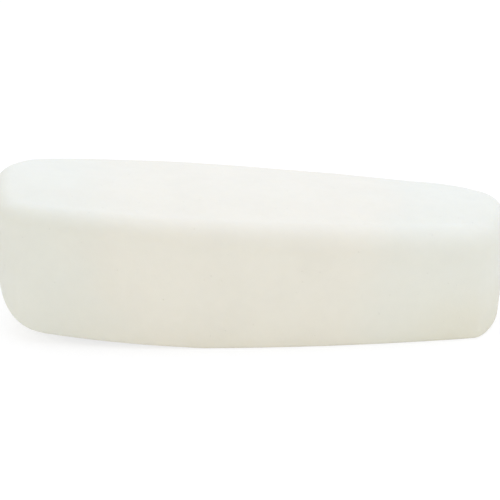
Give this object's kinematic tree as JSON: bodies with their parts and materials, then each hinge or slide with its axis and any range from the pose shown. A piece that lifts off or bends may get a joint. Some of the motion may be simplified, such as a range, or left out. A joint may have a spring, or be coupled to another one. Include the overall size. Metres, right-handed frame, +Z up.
{
  "type": "moulded foam seat bun",
  "caption": "Long moulded foam cushion with a crowned, sloping top, a round rear end, a kinked hem and a recess below for a seat pan.",
  "frame": {"origin": "middle of the bun's length and width, on the plane its hem stands on", "axes": "+X along the seat towards its lower, slimmer nose end; +Y across it; +Z up, the side that is sat on"},
  "size_m": [0.528, 0.22, 0.152],
  "materials": {
    "foam": "matte, fine closed moulding skin of polyurethane foam, off-white",
    "felt": "needled backing felt, grey-beige",
    "wire": "drawn steel wire, bare",
    "sleeve": "crimped steel sleeve, zinc plated"
  },
  "bodies": {
    "root": {"foam_bun": "foam", "pan_felt_front": "felt", "pan_felt_rear": "felt", "skirt_wire": "wire", "wire_sleeve": "sleeve"}
  },
  "joints": []
}
